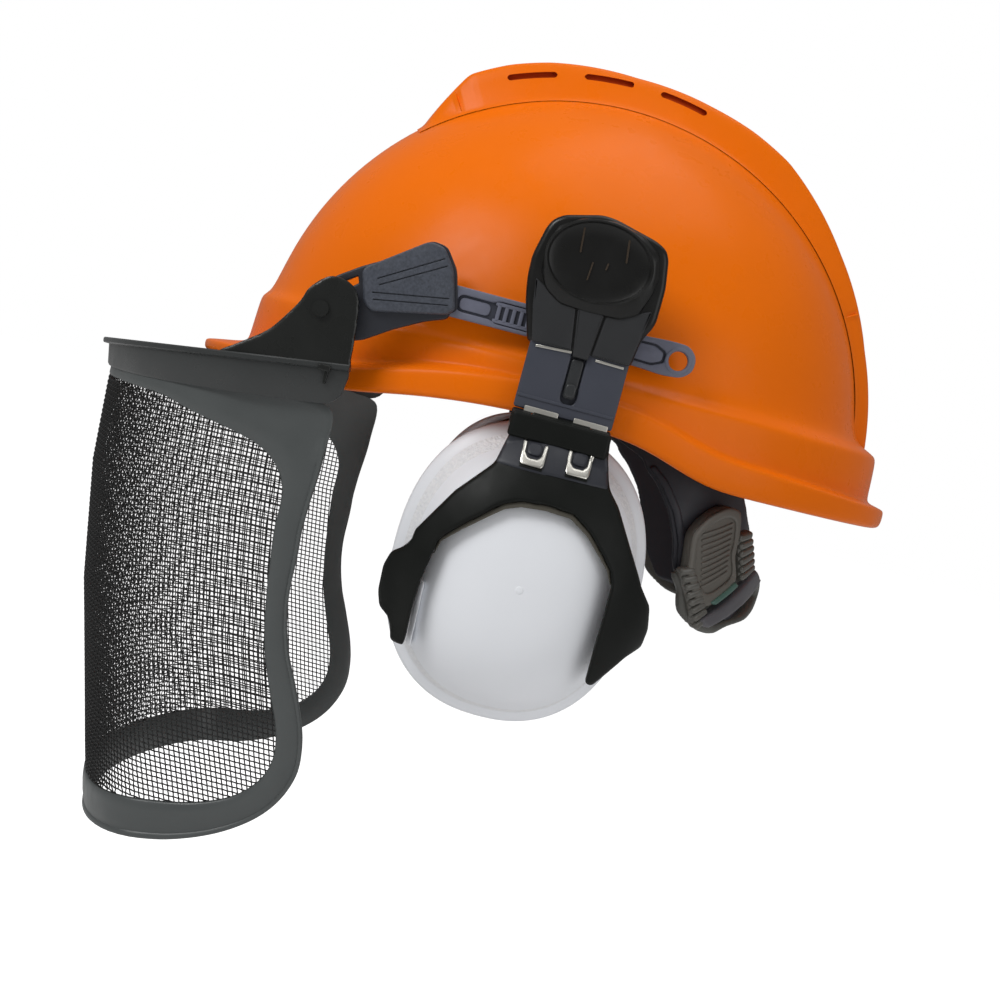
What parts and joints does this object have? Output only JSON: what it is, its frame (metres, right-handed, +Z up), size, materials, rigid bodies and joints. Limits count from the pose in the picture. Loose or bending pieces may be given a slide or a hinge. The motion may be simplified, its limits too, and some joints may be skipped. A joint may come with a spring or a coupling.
{
  "type": "safety helmet with visor and ear muffs",
  "caption": "Hard hat with a crown ridge, flip-up mesh visor, yoke-mounted ear muffs and a sliding nape band.",
  "frame": {"origin": "centre of the head opening, where the wearer's head carries the helmet", "axes": "+Z up through the crown, +Y towards the nape, +X towards the wearer's left"},
  "size_m": [0.2668, 0.3278, 0.335],
  "materials": {
    "shell_orange": "glossy moulded shell",
    "harness_grey": "satin moulded band",
    "webbing": "woven polyester webbing",
    "pad_foam": "open foam",
    "sweatband_cloth": "stitched terry cloth",
    "adjuster_grey": "soft warm grey grip",
    "adjuster_key": "satin key",
    "carrier_black": "fine textured plastic",
    "gloss_black": "glossy moulded plastic",
    "rim_grey": "satin edge moulding",
    "mesh_black": "woven screen",
    "hub_black": "satin moulded plastic",
    "yoke_black": "satin moulded plastic",
    "spring_steel": "bright strip",
    "cup_white": "satin white shell",
    "cushion_black": "soft film over foam"
  },
  "bodies": {
    "helmet": {"shell": "shell_orange", "harness_keys": "harness_grey", "crown_strap_lower": "webbing", "crown_strap_upper": "webbing", "crown_pad": "pad_foam", "headband": "harness_grey", "sweatband": "sweatband_cloth", "visor_strap_left": "carrier_black", "visor_strap_right": "carrier_black", "muff_bracket_left": "hub_black", "muff_bracket_right": "hub_black"},
    "nape_band": {"nape_strap_left": "harness_grey", "nape_strap_right": "harness_grey", "adjuster_housing": "adjuster_grey", "adjuster_grip_left": "adjuster_grey", "adjuster_grip_right": "adjuster_grey"},
    "nape_key": {"push_key": "adjuster_key"},
    "visor_carrier": {"visor_wedge_left": "carrier_black", "visor_wedge_right": "carrier_black", "pivot_screw_left": "carrier_black", "pivot_screw_right": "carrier_black"},
    "visor": {"brow_guard": "gloss_black", "visor_rim": "rim_grey", "visor_mesh": "mesh_black"},
    "muff_hub_left": {"muff_hub_left": "hub_black", "muff_dial_left": "hub_black"},
    "muff_slider_left": {"height_slider_left": "hub_black", "detent_tab_left": "hub_black", "spring_strips_left": "spring_steel", "hinge_pin_left": "spring_steel"},
    "muff_yoke_left": {"yoke_left": "yoke_black", "u_clips_left": "spring_steel", "cup_pins_left": "yoke_black"},
    "muff_cup_left": {"cup_shell_left": "cup_white", "cup_backplate_left": "yoke_black", "cup_cushion_left": "cushion_black", "cup_foam_left": "pad_foam"},
    "muff_hub_right": {"muff_hub_right": "hub_black", "muff_dial_right": "hub_black"},
    "muff_slider_right": {"height_slider_right": "hub_black", "detent_tab_right": "hub_black", "spring_strips_right": "spring_steel", "hinge_pin_right": "spring_steel"},
    "muff_yoke_right": {"yoke_right": "yoke_black", "u_clips_right": "spring_steel", "cup_pins_right": "yoke_black"},
    "muff_cup_right": {"cup_shell_right": "cup_white", "cup_backplate_right": "yoke_black", "cup_cushion_right": "cushion_black", "cup_foam_right": "pad_foam"}
  },
  "joints": [
    {"name": "nape_slide", "type": "slide", "parent": "helmet", "child": "nape_band", "axis": [0, 1, 0], "range_m": [-0.004, 0.014]},
    {"name": "key_press", "type": "slide", "parent": "nape_band", "child": "nape_key", "axis": [0, -1, 0], "range_m": [0, 0.002], "stiffness_N_per_m": 400},
    {"name": "visor_reach", "type": "slide", "parent": "helmet", "child": "visor_carrier", "axis": [0, 1, 0], "range_m": [-0.004, 0.004]},
    {"name": "visor_flip", "type": "hinge", "parent": "visor_carrier", "child": "visor", "pos_m": [0, -0.09, 0.027], "axis": [-1, 0, 0], "range_deg": [0, 95]},
    {"name": "hub_turn_left", "type": "hinge", "parent": "helmet", "child": "muff_hub_left", "pos_m": [0.114, 0.003, 0.068], "axis": [1, 0, 0], "range_deg": [-4, 4]},
    {"name": "height_left", "type": "slide", "parent": "muff_hub_left", "child": "muff_slider_left", "axis": [0, 0, 1], "range_m": [-0.018, 0]},
    {"name": "swing_left", "type": "hinge", "parent": "muff_slider_left", "child": "muff_yoke_left", "pos_m": [0.117, 0.003, 0.008], "axis": [0, -1, 0], "range_deg": [0, 45]},
    {"name": "cup_tilt_left", "type": "hinge", "parent": "muff_yoke_left", "child": "muff_cup_left", "pos_m": [0.104, 0.003, -0.057], "axis": [0, -1, 0], "range_deg": [-2, 3]},
    {"name": "hub_turn_right", "type": "hinge", "parent": "helmet", "child": "muff_hub_right", "pos_m": [-0.114, 0.003, 0.068], "axis": [1, 0, 0], "range_deg": [-4, 4]},
    {"name": "height_right", "type": "slide", "parent": "muff_hub_right", "child": "muff_slider_right", "axis": [0, 0, 1], "range_m": [-0.018, 0]},
    {"name": "swing_right", "type": "hinge", "parent": "muff_slider_right", "child": "muff_yoke_right", "pos_m": [-0.117, 0.003, 0.008], "axis": [0, 1, 0], "range_deg": [0, 45]},
    {"name": "cup_tilt_right", "type": "hinge", "parent": "muff_yoke_right", "child": "muff_cup_right", "pos_m": [-0.104, 0.003, -0.057], "axis": [0, 1, 0], "range_deg": [-2, 3]}
  ]
}
